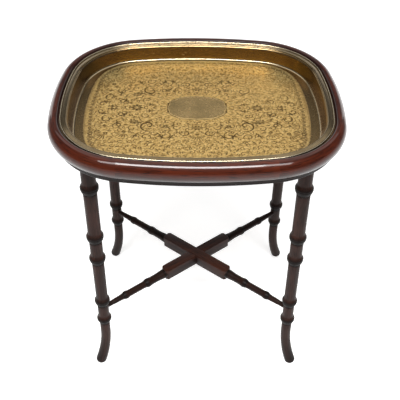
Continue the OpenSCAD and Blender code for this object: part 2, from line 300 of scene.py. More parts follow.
def sheet_section():
    """Flange, wall, bend and the outer strip of the floor, as one sheet with both its faces."""
    top = smooth_curve([(1.0, 0), (-6, 0), (-12.2, -0.05), (-13.6, -0.5), (-14.6, -2.2)], 4)
    wall = smooth_curve([(-14.6, -2.2), (-17.2, -12), (-20.2, -23), (-20.9, -25.6), (-21.9, -27.6),
                         (-23.6, -28.4)], 6)
    upper = np.concatenate([top, wall[1:], [(FLOOR_EDGE / MM, -28.5)]])
    upper[:, 1] *= WALL_DROP / (28.5 * MM)
    upper = upper * MM + (0, SEAT_Z)
    direction = np.gradient(upper, axis=0)
    direction /= np.linalg.norm(direction, axis=1)[:, None]
    inward = np.stack([-direction[:, 1], direction[:, 0]], 1)
    lower = upper + inward * SHEET
    return np.concatenate([upper, lower[::-1]])


def bend_painted_highlight(height):
    """Painted highlight: paler brass along the bend at the floor, and a little at the top of the wall."""
    low_bend = np.clip(height / (0.5 * MM), 0, 1) * np.clip(1.9 - height / (2 * MM), 0, 1)
    top_bend = 0.3 * np.clip((height - WALL_DROP) / (1.5 * MM) + 2, 0, 1)
    return np.maximum(low_bend, top_bend)


def build_tray_wall():
    wall = sweep("tray_wall", ring(), sheet_section(), True, sharp=60)
    set_values(wall, "painted_highlight", bend_painted_highlight(vertex_points(wall)[:, 2] - FLOOR_Z))
    finish_piece(wall, "tray", ["tray_pan"], "brass")


def reeded_border():
    """Cast border: a fine reed, a broad band that rises inwards, and a rounded inner lip."""
    reed = [(-2.1, 0), (-2.15, 0.6), (-2.6, 1.25), (-3.2, 1.5), (-3.8, 1.3), (-4.1, 1.0)]
    band = [(-4.1, 1.6), (-5.4, 2.0), (-6.6, 2.3), (-6.8, 2.05), (-6.8, 2.35), (-8.2, 2.65), (-9.1, 2.8),
            (-9.3, 2.45)]
    lip = [(-9.3, 2.85), (-10.3, 3.08), (-11.2, 3.0), (-12.1, 2.55), (-12.8, 1.8), (-13.2, 0.8), (-13.3, 0)]
    return [(offset * MM, SEAT_Z + height * MM) for offset, height in reed + band + lip]


def bead_section():
    """The bead at the tray's edge: narrow, upright sided and round on top."""
    middle, half = -1.05 * MM, 1.25 * MM
    return [(middle + half * math.cos(a), SEAT_Z + (RIM_Z - SEAT_Z) * math.sin(a) ** 0.6)
            for a in np.linspace(0, PI, 15)]


def build_tray_rim():
    moulding = sweep("tray_rim_moulding", ring(), reeded_border(), True, sharp=50)
    finish_piece(moulding, "tray", ["tray_rim_moulding"], "brass_border")
    bead = sweep("tray_edge_bead", ring(), bead_section(), True, sharp=70)
    finish_piece(bead, "tray", ["tray_edge_bead"], "brass_border", "bead_highlight_brass")


# ---- The engraving, drawn in millimetres in the +X +Y quarter and mirrored ----

def stroke(points, width, pinch=0.25):
    """A line that swells in its middle, as points and half widths."""
    points = np.array(points, float)
    t = np.linspace(0, 1, len(points))
    return points, width / 2 * (pinch + (1 - pinch) * np.sin(PI * t) ** 0.7)


def bow(start, end, bulge, width, pinch=0.25):
    """A curved stroke from start to end, bulging to its left."""
    start, end = np.array(start, float), np.array(end, float)
    across = np.array([start[1] - end[1], end[0] - start[0]])
    middle = (start + end) / 2 + across * bulge * 2
    t = np.linspace(0, 1, 9)[:, None]
    return stroke((1 - t) ** 2 * start + 2 * t * (1 - t) * middle + t ** 2 * end, width, pinch)


def scroll(centre, size, start, turn, width):
    """A scroll winding in from size round centre to a round eye; angles in degrees."""
    t = np.linspace(0, 1, 30)
    radius = size * (1 - 0.78 * t)
    angle = np.radians(start + turn * t)
    points = np.array(centre) + radius[:, None] * np.stack([np.cos(angle), np.sin(angle)], 1)
    line = stroke(points, width, 0.5)
    eye = np.array([points[-1], points[-1] + 0.1]), np.array([width * 0.75, width * 0.75])
    return [line, eye]


def leaf(base, direction, length, curl, width):
    """An acanthus leaf: a rib with curling lobes on both sides."""
    a = math.radians(direction)
    along, side = np.array([math.cos(a), math.sin(a)]), np.array([-math.sin(a), math.cos(a)])
    base = np.array(base, float)
    tip = base + along * length + side * curl * length
    rib = bow(base, tip, 0.25 * curl + 0.02, width)
    strokes = [rib]
    for share in (0.2, 0.42, 0.62, 0.8):
        root = rib[0][int(share * 8)]
        reach = length * 0.42 * (1.1 - share)
        for hand in (-1, 1):
            end = root + along * reach * 0.75 + side * hand * reach
            strokes.append(bow(root, end, -0.22 * hand, width * 0.85))
    return strokes


def fan(base, direction, radius, ribs, width):
    """A shell: ribs that spread from its base, edged with scallops."""
    strokes = []
    angles = np.radians(direction + np.linspace(-68, 68, ribs))
    base = np.array(base, float)
    for a, b in zip(angles[:-1], angles[1:]):
        out = np.array([math.cos(a), math.sin(a)])
        out2 = np.array([math.cos(b), math.sin(b)])
        strokes.append(bow(base + out * radius * 0.3, base + out * radius * 0.86, 0.04, width))
        strokes.append(bow(base + out2 * radius * 0.92, base + out * radius * 0.92, 0.3, width * 0.8))
    strokes += scroll(base, radius * 0.22, direction, 400, width)
    return strokes


def rosette(centre, radius, petals, width):
    """A flower of pointed petals round a small ring."""
    centre = np.array(centre, float)
    strokes = []
    for k in range(petals):
        a = 2 * PI * k / petals
        out, side = np.array([math.cos(a), math.sin(a)]), np.array([-math.sin(a), math.cos(a)])
        for hand in (-1, 1):
            strokes.append(bow(centre + out * radius * 0.28, centre + out * radius, 0.2 * hand, width))
        strokes.append(bow(centre + out * radius * 0.4, centre + out * radius * 0.8, 0.0, width * 0.8))
        strokes.append(bow(centre + side * radius * 0.2, centre + out * radius * 0.2, 0.2, width * 0.7))
    return strokes


CARTOUCHE_A, CARTOUCHE_B = 54, 38.5      # half length and half width of the plain middle


def cartouche_share(x, y):
    """Below 1 inside the plain lobed oval in the middle."""
    angle = np.arctan2(y / CARTOUCHE_B, x / CARTOUCHE_A)
    reach = (np.abs(x / CARTOUCHE_A) ** 2.5 + np.abs(y / CARTOUCHE_B) ** 2.5) ** (1 / 2.5)
    return reach / (1 + 0.05 * np.abs(np.cos(6 * angle)))


def cartouche_edge():
    """Lines and scallops round the plain oval."""
    strokes = []
    angle = np.linspace(0, PI / 2, 40)
    rim = np.stack([np.cos(angle) ** 0.8 * CARTOUCHE_A, np.sin(angle) ** 0.8 * CARTOUCHE_B], 1)
    strokes.append((rim * 1.075, np.full(40, 0.8)))
    edge = rim[::4] * 1.1
    for a, b in zip(edge[:-1], edge[1:]):
        strokes.append(bow(b, a, -0.35, 1.9))
        strokes.append(bow((a + b) / 2 * 1.12, (a + b) / 2 * 1.24, 0.1, 1.6))
    return strokes


def main_motifs():
    """The large scrolls, flowers, shells and leaves of a quarter, laid out from the middle outwards."""
    s = cartouche_edge()
    s += scroll((92, 63), 19, 110, -330, 3.2) + scroll((64, 64), 8, -60, 300, 1.8)
    s += scroll((40, 68), 9, 200, -320, 2.0) + scroll((22, 86), 12, -30, 330, 2.2)
    s += scroll((60, 96), 12, 250, -330, 2.2) + scroll((96, 100), 11, 150, 320, 2.2)
    s += scroll((98, 28), 11, -70, 320, 2.0) + scroll((146, 22), 10, 180, -320, 2.0)
    s += scroll((172, 40), 14, 250, 330, 2.6) + scroll((150, 62), 11, 60, -320, 2.2)
    s += scroll((122, 72), 10, -100, 300, 2.0) + scroll((186, 12), 9, 150, -330, 2.0)
    s += rosette((118, 0), 13, 8, 1.7) + rosette((0, 70), 9, 6, 1.5) + rosette((122, 48), 9, 7, 1.4)
    s += fan((138, 84), 75, 22, 8, 2.0) + fan((172, 88), 35, 25, 9, 2.2)
    s += fan((0, 92), 90, 22, 9, 1.8) + fan((176, 62), 10, 18, 7, 1.8)
    s += leaf((84, 40), 60, 24, -0.2, 1.8) + leaf((66, 58), 120, 24, 0.2, 1.8)
    s += leaf((98, 46), 10, 26, 0.2, 1.9) + leaf((108, 84), 70, 24, -0.2, 2.0)
    s += leaf((76, 84), 100, 26, 0.25, 2.0) + leaf((40, 88), 70, 26, -0.2, 1.8)
    s += leaf((132, 14), 30, 24, 0.2, 2.0) + leaf((154, 42), 80, 22, 0.2, 2.0)
    s += leaf((166, 20), -20, 26, 0.3, 2.0) + leaf((150, 2), 0, 28, 0.1, 2.0)
    s += leaf((80, 8), 5, 22, 0.15, 1.8) + leaf((44, 52), 60, 16, 0.2, 1.6)
    return s


def eased(value, low, high):
    """A smooth step from 0 to 1 as the size of value goes from low to high."""
    share = np.clip((np.abs(value) - low) / (high - low), 0, 1)
    return share * share * (3 - 2 * share)


def field_edge(x, y):
    """Offset of the engraving's edge, in millimetres: the plain band is wide at the short ends."""
    share = eased(x, 90, 175) * (1 - eased(y, 85, 190))
    return FIELD_EDGE + (FIELD_END - FIELD_EDGE) * share


def border_motifs():
    """A band of little scrolls, leaves and scallops inside the field's edge."""
    strokes = []
    base, normal, _ = trace(quarter_outline(), 1 * MM)
    base = base / MM
    every = 13                    # millimetres from one repeat to the next
    for k, i in enumerate(range(every // 2, len(base) - every // 2, every)):
        n, along = normal[i], np.array([-normal[i][1], normal[i][0]])
        p = base[i] + n * (field_edge(*base[i]) - 2)
        heading = math.degrees(math.atan2(-n[1], -n[0]))
        hand = 1 if k % 2 else -1
        strokes.append(bow(p + along * 6.5, p - along * 6.5, 0.3, 1.5))
        strokes.append(bow(p + along * 4 - n * 1.5, p - along * 4 - n * 1.5, 0.3, 1.3))
        strokes += leaf(p - n * 5, heading + 25 * hand, 15, 0.35 * hand, 1.15)
        strokes += scroll(p - n * 11 + along * 6 * hand, 6, heading, 320 * hand, 1.6)
        strokes.append(bow(p - n * 19 + along * 5, p - n * 24 - along * 4 * hand, 0.3, 1.5))
    return strokes


def inside_field(x, y):
    """Whether a point is in the engraved field, clear of its edge and of the plain middle."""
    return (offset_of(x * MM, y * MM) / MM < field_edge(x, y) - 0.8) & (cartouche_share(x, y) > 1.12)


def sprig(rng, x, y):
    """A small leaf or scroll."""
    a, hand = rng.uniform(0, 360), rng.choice([-1, 1])
    start = (x - 6 * math.cos(math.radians(a)), y - 6 * math.sin(math.radians(a)))
    size = rng.uniform(0.75, 1.3)
    if rng.random() < 0.45:
        return leaf(start, a, 12 * size, 0.35 * hand, 1.3)
    return scroll((x, y), 5.5 * size, a, 330 * hand, 1.6)


def nick(rng, x, y):
    """A small curved nick in the ground."""
    a = math.atan2(y, x) + rng.uniform(-1.3, 1.3)
    reach = rng.uniform(2.0, 5.0)
    step = np.array([math.cos(a), math.sin(a)]) * reach
    return [bow((x - step[0], y - step[1]), (x + step[0], y + step[1]),
                rng.choice([-0.35, 0.35]), rng.uniform(1.0, 1.7))]


def scattered(make, strokes, tries, seed, clear, every=1):
    """Marks that make draws wherever the strokes leave a clear distance; every thins the points tested."""
    rng = np.random.default_rng(seed)
    taken = np.concatenate([p for p, _ in strokes])
    made = []
    for x, y in rng.uniform((0, 0), (EDGE_A / MM, EDGE_B / MM), (tries, 2)):
        if not inside_field(np.array(x), np.array(y)):
            continue
        if np.min(np.hypot(taken[:, 0] - x, taken[:, 1] - y)) < clear:
            continue
        new = make(rng, x, y)
        made += new
        taken = np.concatenate([taken] + [p[::every] for p, _ in new])
    return made


def offset_of(x, y):
    """How far inside (-) the edge line points of the +X +Y quarter are."""
    best = np.full(np.shape(x), -1.0)
    for c, r, a, b in quarter_outline(0.2):
        dx, dy = x - c[0], y - c[1]
        angle = np.arctan2(dy, dx)
        here = (angle >= a - 1e-6) & (angle <= b + 1e-6)
        best = np.where(here, np.maximum(best, np.hypot(dx, dy) - r), best)
    return best


def cut(strokes, x, y, soft):
    """How far each point lies in a stroke, from 0 outside to 1 in its bottom."""
    depth = np.zeros(len(x))
    for points, half in strokes:
        margin = half.max() + soft
        low, high = points.min(0) - margin, points.max(0) + margin
        near = np.flatnonzero((x > low[0]) & (x < high[0]) & (y > low[1]) & (y < high[1]))
        if not len(near):
            continue
        p = np.stack([x[near], y[near]], 1)[:, None]
        a, b = points[None, :-1], points[None, 1:]
        ab = b - a
        t = np.clip(((p - a) * ab).sum(2) / np.maximum((ab * ab).sum(2), 1e-9), 0, 1)
        gap = np.linalg.norm(p - a - ab * t[..., None], axis=2) - (half[:-1] + (half[1:] - half[:-1]) * t)
        reach = np.clip(0.5 - gap.min(1) / (2 * soft), 0, 1)
        depth[near] = np.maximum(depth[near], reach)
    return depth


def plate_quarter(n):
    """The engraved plate's points in the +X +Y quarter: squares stretched out to the outline."""
    u, v = np.meshgrid(np.linspace(0, 1, n + 1), np.linspace(0, 1, n + 1), indexing="ij")
    r = np.maximum(u, v)
    turn = np.where(u >= v, v / np.maximum(r, 1e-9), 2 - u / np.maximum(r, 1e-9)) / 2
    base, normal, length = trace(quarter_outline(), 1 * MM)
    edge = base + normal * FLOOR_EDGE
    mid = SHORT_R * SHORT_TURN + CORNER_R * (CORNER_MID - SHORT_TURN)
    at = np.interp(turn, [0, 0.5, 1], [0, mid, length[-1]])
    return r * np.interp(at, length, edge[:, 0]), r * np.interp(at, length, edge[:, 1])


def engraved_values(x, y):
    """Depth of the groove, the plain middle and the plain edge band at points of the quarter."""
    motifs = main_motifs() + border_motifs()
    motifs = motifs + scattered(sprig, motifs, tries=2600, seed=5, clear=6.5)
    motifs = motifs + scattered(nick, motifs, tries=5200, seed=11, clear=3.1, every=4)
    groove = cut(motifs, x, y, soft=0.65)
    inside = field_edge(x, y) - offset_of(x * MM, y * MM) / MM
    field = np.clip(inside / 0.6, 0, 1)
    around = np.clip((cartouche_share(x, y) - 1) / 0.02, 0, 1)
    darkening = 0.5 * np.exp(-np.maximum(inside, 0) / 14)
    return groove * field * around, 1 - around, np.maximum(1 - field, darkening)


def mirrored(quarter):
    """The whole grid from one quarter of it."""
    half = np.concatenate([quarter[:0:-1], quarter])
    return np.concatenate([half[:, :0:-1], half], 1)


def plate_rim():
    """The engraved plate's outer vertices, once round."""
    row = CELLS + 1
    return ([i * row for i in range(CELLS)] + [CELLS * row + j for j in range(CELLS)]
            + [i * row + CELLS for i in range(CELLS, 0, -1)] + list(range(CELLS, 0, -1)))


def engraved_plate():
    """Points of the plate's top, with the depth of the groove, the plain middle and the plain band."""
    n = CELLS // 2
    x, y = plate_quarter(n)
    groove, plain, band = [mirrored(v.reshape(x.shape))
                           for v in engraved_values(x.ravel() / MM, y.ravel() / MM)]
    side = np.where(np.arange(CELLS + 1) < n, -1, 1)
    px, py = mirrored(x) * side[:, None], mirrored(y) * side[None, :]
    # painted highlight: the engraving fades at the back right, standing in for glare
    groove *= 1 - 0.6 * np.exp(-((px - GLARE_AT[0]) / GLARE_R) ** 2 - ((py - GLARE_AT[1]) / GLARE_R) ** 2)
    top = np.stack([px, py, FLOOR_Z - GROOVE * groove], -1).reshape(-1, 3)
    return top, groove.ravel(), plain.ravel(), band.ravel()


def build_tray_floor():
    top, groove, plain, band = engraved_plate()
    edge = plate_rim()
    below = top[edge] * (1, 1, 0) + (0, 0, FLOOR_Z - SHEET)
    first, count = len(top), len(edge)
    faces = grid_faces(CELLS + 1, CELLS + 1, False, False)
    faces += [[edge[k], edge[(k + 1) % count], first + (k + 1) % count, first + k] for k in range(count)]
    faces.append([first + k for k in range(count)])
    plate = new_object("tray_floor", np.concatenate([top, below]), faces, 60)
    set_values(plate, "groove", np.concatenate([groove, np.zeros(count)]))
    set_values(plate, "plain", np.concatenate([plain, np.zeros(count)]))
    set_values(plate, "band", np.concatenate([band, np.ones(count)]))
    set_vectors(plate, "grain", np.concatenate([top, below]))
    finish_piece(plate, "tray", ["tray_pan"], "brass", "engraved_brass")


# ---- Legs ----

LEG_X, LEG_Y = 200.5 * MM, 147 * MM
LEAN, SPLAY = math.radians(1.85), math.radians(0.3)
JOINT_HEIGHTS = (500.5 * MM, 378.5 * MM, 320 * MM, 194.5 * MM, 138 * MM)
LEG_R, LEG_STEP, SWELL = 13.9 * MM, 0.5 * MM, 3.9 * MM
BEND_Z, FOOT_TURN, FOOT_DIR = 98 * MM, math.radians(21.3), math.radians(29)
FOOT_R = LEG_R - 5 * LEG_STEP - 0.5 * MM
BEND_R = (BEND_Z - 6 * MM) / math.sin(FOOT_TURN)
TENON_R = 9 * MM
AROUND, ARM_AROUND = 48, 32          # points round a leg and round an arm


def joint_controls(z, above, below):
    """Height, radius and darkness of one bamboo joint, from its top down: the darkness is the joint's dark
    stain, deepened under the swell as painted shade.
    """
    rows = [(13, above, 0), (9, above + 0.4 * MM, 0), (5.5, above + 0.55 * SWELL, 0.3),
            (2.5, above + 0.9 * SWELL, 0.7), (0.5, above + SWELL, 0.7), (-0.8, above + 0.88 * SWELL, 1),
            (-2.6, above + 0.97 * SWELL, 0.8), (-6, below + 0.9 * SWELL, 0.85),
            (-9, below + 0.62 * SWELL, 0.9),
            (-11.3, below + 0.28 * SWELL, 1), (-12.4, below + 0.6 * MM, 0.4), (-13.3, below - 0.4 * MM, 1),
            (-14.4, below + 0.5 * MM, 0.2), (-15.5, below - 0.2 * MM, 0.9), (-17, below, 0)]
    return [(z + down * MM, radius, dark) for down, radius, dark in rows]


def leg_profile():
    """Rows of (height above the floor, radius, darkness) from the shoulder to the bend."""
    rows = [(BLOCK_Z, LEG_R, 0.0)]
    for i, z in enumerate(JOINT_HEIGHTS):
        below = FOOT_R if i == 4 else LEG_R - (i + 1) * LEG_STEP
        controls = joint_controls(z, LEG_R - i * LEG_STEP, below)
        last = rows[-1]
        start = controls[0]
        rows += [(h, np.interp(h, [start[0], last[0]], [start[1], last[1]]), 0)
                 for h in np.linspace(last[0], start[0], 9)[1:-1]]
        rows += smooth_curve(controls, 4).tolist()
    rows.append((BEND_Z, FOOT_R, 0))
    return rows


def leg_rings():
    """Each ring's middle, axis, radius and darkness, hanging below the shoulder."""
    rings = [((0, 0, h - BLOCK_Z), 0.0, r, d) for h, r, d in leg_profile()]
    for t in np.linspace(0, FOOT_TURN, 14)[1:]:
        rings.append(((BEND_R * (1 - math.cos(t)), 0, BEND_Z - BLOCK_Z - BEND_R * math.sin(t)), t,
                      FOOT_R + 0.9 * MM * (t / FOOT_TURN) ** 2, 0.5 * t / FOOT_TURN))
    (x, _, z), t, r, _ = rings[-1]
    toe = ((2, 0), (4, 0.3), (5.5, 0.9), (7, 1.9), (8.5, 3.2), (9.5, 4.8), (10, 6.5), (10, 10))
    for down, shrink in toe:
        middle = (x + down * MM * math.sin(t), 0, z - down * MM * math.cos(t))
        rings.append((middle, t, r - shrink * MM, 0.5))
    return rings


def leg_surface(rings):
    """Points, grain and darkness of the leg's skin, ring by ring, with its foot along +X."""
    phi = np.linspace(0, 2 * PI, AROUND, endpoint=False)
    points, grain, dark = [], [], []
    for (x, y, z), t, r, d in rings:
        e = np.array([math.cos(t), 0, math.sin(t)])
        points.append(np.array([x, y, z]) + r * np.cos(phi)[:, None] * e
                      + r * np.sin(phi)[:, None] * np.array([0, 1, 0]))
        grain.append(np.stack([np.full(AROUND, z), r * np.cos(phi), r * np.sin(phi)], 1))
        dark.append(np.full(AROUND, d))
    return np.concatenate(points), np.concatenate(grain), np.concatenate(dark)


def leg_tenon():
    """Two rings of the round tenon that stands in the corner block."""
    phi = np.linspace(0, 2 * PI, AROUND, endpoint=False)
    top = BLOCK_TOP - BLOCK_Z - 0.6 * MM
    return np.array([(TENON_R * math.cos(a), TENON_R * math.sin(a), h) for h in (0, top) for a in phi])


def leg_faces(rows):
    """The skin, the sole, the tenon's side, the shoulder and the tenon's end."""
    first = rows * AROUND
    faces = grid_faces(rows, AROUND, False, True) + [[first - AROUND + j for j in range(AROUND)]]
    faces += grid_faces(2, AROUND, False, True, first)
    faces += [[j, (j + 1) % AROUND, first + (j + 1) % AROUND, first + j] for j in range(AROUND)]
    return faces + [[first + AROUND + j for j in range(AROUND)]]


def leg_mesh(name, sx, sy):
    rings = leg_rings()
    skin, grain, dark = leg_surface(rings)
    tenon = leg_tenon()
    placed = leg_place(np.concatenate([spun(skin, FOOT_DIR), tenon]))
    placed[:AROUND, 2] = BLOCK_Z
    placed[:, 2] = np.maximum(placed[:, 2], 0)
    leg = new_object(name, placed * (sx, sy, 1), leg_faces(len(rings)), 50)
    set_values(leg, "dark", np.concatenate([dark, np.zeros(len(tenon))]))
    own_grain = (0.9 * sx, 0.4 * sy, 0.2 * sx * sy)
    set_vectors(leg, "grain", np.concatenate([grain, tenon]) + own_grain)
    return leg


def leg_place(points):
    """Leans a leg drawn below the origin and moves it to the +X +Y quarter."""
    y = points[:, 1] * math.cos(LEAN) - points[:, 2] * math.sin(LEAN)
    z = points[:, 1] * math.sin(LEAN) + points[:, 2] * math.cos(LEAN)
    x = points[:, 0] * math.cos(SPLAY) - z * math.sin(SPLAY)
    z = points[:, 0] * math.sin(SPLAY) + z * math.cos(SPLAY)
    return np.stack([x + LEG_X, y + LEG_Y, z + BLOCK_Z], 1)


def build_legs():
    for side_y, sy in (("front", -1), ("back", 1)):
        for side_x, sx in (("left", -1), ("right", 1)):
            name = f"leg_{side_y}_{side_x}"
            finish_piece(leg_mesh(name, sx, sy), "stand", [name], "dark_mahogany")


# ---- Stretcher ----

STRETCHER_Z = (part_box("stretcher_bar_lower")[0].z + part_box("stretcher_bar_lower")[1].z) / 2
BAR_W, BAR_T, BAR_HALF = 24 * MM, 27 * MM, 93 * MM
ARM_RS, ARM_SWELL, ARM_JOINTS = (9.1 * MM, 7.9 * MM, 6.6 * MM), 1.3 * MM, (139.5 * MM, 199 * MM)
LEG_DROP = BLOCK_Z - STRETCHER_Z
LEG_AT_BAR = Vector((LEG_X + LEG_DROP * math.tan(SPLAY), LEG_Y + LEG_DROP * math.tan(LEAN)))
BAR_ANGLE = math.atan2(LEG_AT_BAR.y, LEG_AT_BAR.x)
ARM_TIP = LEG_AT_BAR.length - 3 * MM


def arm_profile():
    """Rows of (distance from the middle, radius, darkness) along an arm."""
    rows = [(-6, 10.8, 0), (0.5, 10.8, 0), (2, 10.6, 0.9), (9, 10.2, 0.3), (18, 9.3, 0), (26, 9.1, 0)]
    rows = [(BAR_HALF + x * MM, r * MM, dark) for x, r, dark in rows]
    for i, x in enumerate(ARM_JOINTS):
        before, after, s = ARM_RS[i], ARM_RS[i + 1], ARM_SWELL
        rows += [(x + dx * MM, r, dark) for dx, r, dark in (
            (-9, before, 0), (-5, before + 0.6 * s, 0), (-1, before + s, 0.5), (1.5, before + 0.9 * s, 0.8),
            (6, after + 0.9 * s, 0.8), (8.5, after - 0.1 * MM, 1), (9.5, after + 0.5 * MM, 0.3),
            (10.5, after, 0.8), (12, after, 0))]
    rows += [(ARM_TIP - 25 * MM, 5.9 * MM, 0), (ARM_TIP - 20 * MM, 5.5 * MM, 0), (ARM_TIP, 5.5 * MM, 0)]
    return rows


def arm_mesh(turn):
    """A turned arm of the stretcher, lying along the angle turn."""
    rows = smooth_curve(arm_profile(), 3)
    phi = np.linspace(0, 2 * PI, ARM_AROUND, endpoint=False)
    points = np.array([(x, r * math.cos(a), r * math.sin(a)) for x, r, _ in rows for a in phi])
    last = (len(rows) - 1) * ARM_AROUND
    faces = grid_faces(len(rows), ARM_AROUND, False, True)
    faces += [list(range(ARM_AROUND)), [last + j for j in range(ARM_AROUND)]]
    arm = new_object("arm", spun(points, turn) + (0, 0, STRETCHER_Z), faces, 50)
    set_values(arm, "dark", np.repeat(np.maximum(rows[:, 2], 0.62), ARM_AROUND))
    set_vectors(arm, "grain", points + (turn, 0, 0))
    return arm


def bar_block(name, turn, low, high, half, width, chamfer):
    """The square middle of a bar, with chamfered ends, between two heights."""
    w = width / 2
    plan = [(-half, -w + chamfer), (-half + chamfer, -w), (half - chamfer, -w), (half, -w + chamfer),
            (half, w - chamfer), (half - chamfer, w), (-half + chamfer, w), (-half, w - chamfer)]
    points = spun([(x, y, STRETCHER_Z + z) for z in (low, high) for x, y in plan], turn)
    faces = grid_faces(2, 8, False, True) + [list(range(8)), list(range(8, 16))]
    return new_object(name, points, faces, 30)


def evaluated_copy(obj):
    """Gives an object its modifiers' result as its own mesh."""
    graph = bpy.context.evaluated_depsgraph_get()
    mesh = bpy.data.meshes.new_from_object(obj.evaluated_get(graph))
    obj.modifiers.clear()
    obj.data = mesh


def half_lapped_block(name, side, cut_above):
    """A bar's square middle with half its thickness cut away where the other bar crosses."""
    block = bar_block(name, side * BAR_ANGLE, -BAR_T / 2, BAR_T / 2, BAR_HALF, BAR_W, 4 * MM)
    low, high = (0, BAR_T) if cut_above else (-BAR_T, 0)
    tool = bar_block("lap_tool", -side * BAR_ANGLE, low, high, BAR_HALF / 2, BAR_W + 0.1 * MM, 0.1 * MM)
    lap = block.modifiers.new("lap", "BOOLEAN")
    lap.operation, lap.object, lap.solver = "DIFFERENCE", tool, "EXACT"
    soften = block.modifiers.new("soften", "BEVEL")
    soften.width, soften.segments, soften.limit_method = 0.9 * MM, 3, "ANGLE"
    evaluated_copy(block)
    bpy.data.objects.remove(tool)
    return block


def join(first, others):
    """Joins meshes into the first one."""
    with bpy.context.temp_override(active_object=first, selected_editable_objects=[first, *others]):
        bpy.ops.object.join()
    return first


def build_bar(name, side, cut_above):
    """One bar of the X; side is 1 for the bar that runs to the back right, -1 for the other."""
    turn = side * BAR_ANGLE
    block = half_lapped_block(name, side, cut_above)
    set_vectors(block, "grain", spun(vertex_points(block), -turn) + (turn, 0, 0))
    # painted shade down the block's sides, below its lit top face
    shade_below(block, STRETCHER_Z + BAR_T / 2, BAR_T / 4, 0.65)
    bar = join(block, [arm_mesh(turn), arm_mesh(turn + PI)])
    bar.data.shade_smooth()
    bar.data.set_sharp_from_angle(angle=math.radians(50))
    finish_piece(bar, "stand", [name], "dark_mahogany", "stretcher_mahogany")


# ---- Materials ----

class Shader:
    """A node tree being built: each call adds a node and gives its output."""

    def __init__(self, name):
        self.material = bpy.data.materials.new(name)
        self.material.use_nodes = True
        self.nodes = self.material.node_tree.nodes
        self.links = self.material.node_tree.links
        self.bsdf = self.nodes["Principled BSDF"]

    def put(self, socket, value):
        """Links a socket to another node's output, or sets its own value."""
        if isinstance(value, bpy.types.NodeSocket):
            self.links.new(value, socket)
        else:
            socket.default_value = value

    def node(self, kind, output=0, inputs=None, **settings):
        made = self.nodes.new(kind)
        for key, value in settings.items():
            setattr(made, key, value)
        for key, value in (inputs or {}).items():
            self.put(made.inputs[key], value)
        return made.outputs[output]

    def attribute(self, name, output="Fac"):
        return self.node("ShaderNodeAttribute", output, attribute_name=name)

    def place(self, scale, vector=None):
        source = vector or self.node("ShaderNodeTexCoord", "Object")
        return self.node("ShaderNodeMapping", 0, {"Vector": source, "Scale": scale})

    def noise(self, vector, scale, detail=4, rough=0.5, distortion=0.0):
        return self.node("ShaderNodeTexNoise", "Fac", {"Vector": vector, "Scale": scale, "Detail": detail,
                                                       "Roughness": rough, "Distortion": distortion})

    def ramp(self, factor, stops):
        """Colour or grey from a factor; stops are (place, colour or number)."""
        made = self.nodes.new("ShaderNodeValToRGB")
        self.links.new(factor, made.inputs["Fac"])
        band = made.color_ramp
        while len(band.elements) < len(stops):
            band.elements.new(0.5)
        for element, (place, colour) in zip(band.elements, stops):
            element.position = place
            element.color = (colour,) * 3 + (1,) if isinstance(colour, (int, float)) else (*colour, 1)
        return made.outputs["Color"]

    def mix(self, factor, a, b, blend="MIX"):
        made = self.nodes.new("ShaderNodeMix")
        made.data_type, made.blend_type = "RGBA", blend
        self.put(made.inputs["Factor"], factor)
        self.put(made.inputs["A"], a)
        self.put(made.inputs["B"], b)
        return made.outputs["Result"]

    def maths(self, operation, a, b):
        return self.node("ShaderNodeMath", 0, {0: a, 1: b}, operation=operation)

    def bump(self, height, strength, distance):
        return self.node("ShaderNodeBump", "Normal",
                         {"Height": height, "Strength": strength, "Distance": distance})

    def axis(self, index):
        """X, Y or Z of the point in the object's own metres."""
        place = self.node("ShaderNodeTexCoord", "Object")
        return self.node("ShaderNodeSeparateXYZ", index, {"Vector": place})

    def surface(self, **inputs):
        """Sets the shader's inputs, with underscores for the spaces in their names."""
        for key, value in inputs.items():
            self.put(self.bsdf.inputs[key.replace("_", " ")], value)
        return self.material


POLISH_IOR = 1.36


def wood(name, light, mid, dark, ring_and_shade_colour, coat, coat_rough, base_rough, shine, source=None):
    """Stained wood: long grain with pores along it; where "dark" is high, the ring colour and less polish:
    the dark stain of joints and stretcher arms, and painted shade on rails, aprons, bar blocks and under the
    leg joints' swells.
    """
    s = Shader(name)
    grain = source(s) if source else s.attribute("grain", "Vector")
    streaks = s.noise(s.place((3.5, 55, 55), grain), 1.6, 6, 0.6, 0.6)
    fine = s.noise(s.place((14, 420, 420), grain), 1.4, 5, 0.6)
    cloud = s.noise(s.place((1, 1, 1), grain), 9, 3)
    pores = s.ramp(s.noise(s.place((40, 900, 900), grain), 1.2, 2), [(0.33, 0.0), (0.45, 1.0)])
    colour = s.ramp(streaks, [(0.3, dark), (0.5, mid), (0.72, light)])
    colour = s.mix(s.ramp(fine, [(0.35, 0.0), (0.7, 0.45)]), colour, (*dark, 1))
    colour = s.mix(s.ramp(cloud, [(0.4, 0.0), (0.68, 0.4)]), colour, (*light, 1))
    colour = s.mix(pores, (*[c * 0.45 for c in dark], 1), colour)
    # joint stain and painted shade: the colour goes to the ring colour where "dark" is high
    shade = s.ramp(s.attribute("dark"), [(0.15, 0.0), (0.85, 1.0)])
    colour = s.mix(shade, colour, (*ring_and_shade_colour, 1))
    rough = s.ramp(fine, [(0.2, base_rough - 0.08), (0.8, base_rough + 0.12)])
    normal = s.bump(s.maths("MULTIPLY", fine, pores), 0.25, 0.0003)
    return s.surface(Base_Color=colour, Roughness=rough, Normal=normal, Specular_IOR_Level=shine,
                     Coat_Weight=s.ramp(s.attribute("dark"), [(0.2, coat), (1.0, coat * 0.15)]),
                     Coat_Roughness=coat_rough, Coat_IOR=POLISH_IOR)


def object_source(s):
    return s.node("ShaderNodeTexCoord", "Object")


